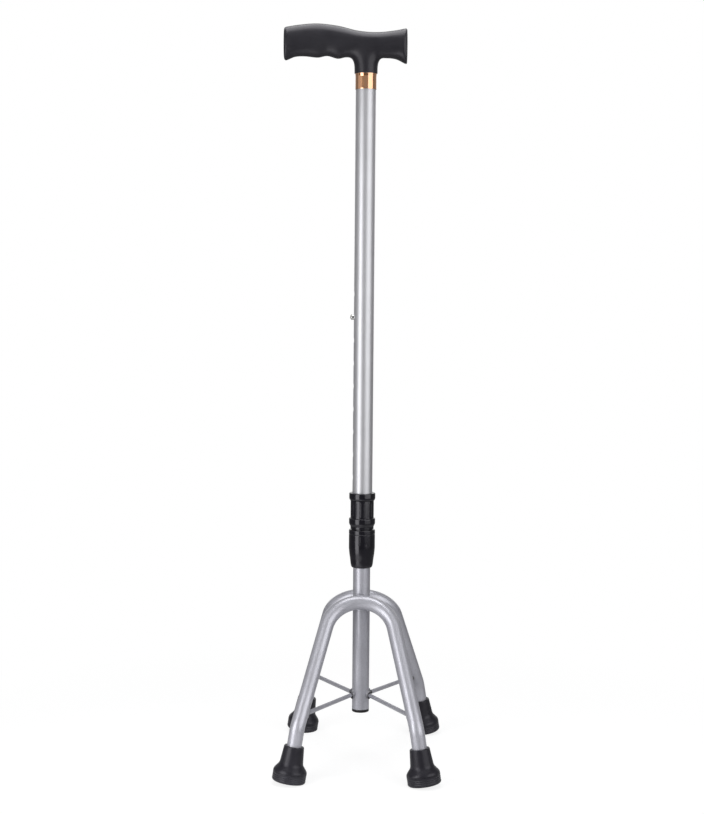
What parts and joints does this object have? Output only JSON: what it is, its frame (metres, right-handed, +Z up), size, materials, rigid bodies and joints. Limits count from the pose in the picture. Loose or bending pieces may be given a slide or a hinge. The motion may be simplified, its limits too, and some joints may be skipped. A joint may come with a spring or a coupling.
{
  "type": "quad cane",
  "caption": "Height-adjustable walking cane on a splayed multi-leg base, with a moulded T-handle, snap button and twist lock.",
  "frame": {"origin": "on the floor, under the axis of the stem and shaft, at the centre of the four feet", "axes": "+Z up along the shaft, -X towards the handle's nose and the snap button, -Y towards the front pair of legs"},
  "size_m": [0.1804, 0.2434, 0.8127],
  "materials": {
    "handle_plastic": "matt black moulded plastic",
    "collar_brass": "polished",
    "anodised_aluminium": "clear anodised, satin",
    "silver_paint": "silver powder coat on steel",
    "plated_steel": "bright zinc plated",
    "lock_plastic": "gloss black",
    "collet_nylon": "natural nylon",
    "plug_plastic": "black moulded plastic",
    "foot_rubber": "black rubber"
  },
  "bodies": {
    "base": {"lower_stem": "silver_paint", "stem_plug": "plug_plastic", "front_leg_arch": "silver_paint", "rear_leg_arch": "silver_paint", "brace_front_left": "silver_paint", "brace_front_right": "silver_paint", "brace_rear_left": "silver_paint", "brace_rear_right": "silver_paint", "foot_front_left": "foot_rubber", "foot_front_right": "foot_rubber", "foot_rear_left": "foot_rubber", "foot_rear_right": "foot_rubber", "foot_washer_front_left": "plated_steel", "foot_washer_front_right": "plated_steel", "foot_washer_rear_left": "plated_steel", "foot_washer_rear_right": "plated_steel", "snap_spring": "plated_steel"},
    "shaft": {"upper_tube": "anodised_aluminium", "handle": "handle_plastic", "handle_collar": "collar_brass", "lock_sleeve": "lock_plastic"},
    "collet": {"lock_collet": "collet_nylon"},
    "nut": {"lock_nut": "lock_plastic"},
    "button": {"snap_button": "plated_steel"}
  },
  "joints": [
    {"name": "height_slide", "type": "slide", "parent": "base", "child": "shaft", "axis": [0, 0, 1], "range_m": [-0.0254, 0.1778], "deforming": ["snap_button"]},
    {"name": "collet_advance", "type": "slide", "parent": "shaft", "child": "collet", "axis": [0, 0, -1], "range_m": [0, 0.002]},
    {"name": "nut_turn", "type": "hinge", "parent": "collet", "child": "nut", "pos_m": [0, 0, 0.236], "axis": [0, 0, -1], "range_deg": [0, 360]},
    {"name": "button_press", "type": "slide", "parent": "base", "child": "button", "axis": [1, 0, 0], "range_m": [0, 0.0054], "stiffness_N_per_m": 2000, "deforming": ["snap_spring"]}
  ],
  "couplings": [
    {"joint": "nut_turn", "follows": "collet_advance", "rad_per_m": 3141.5}
  ]
}
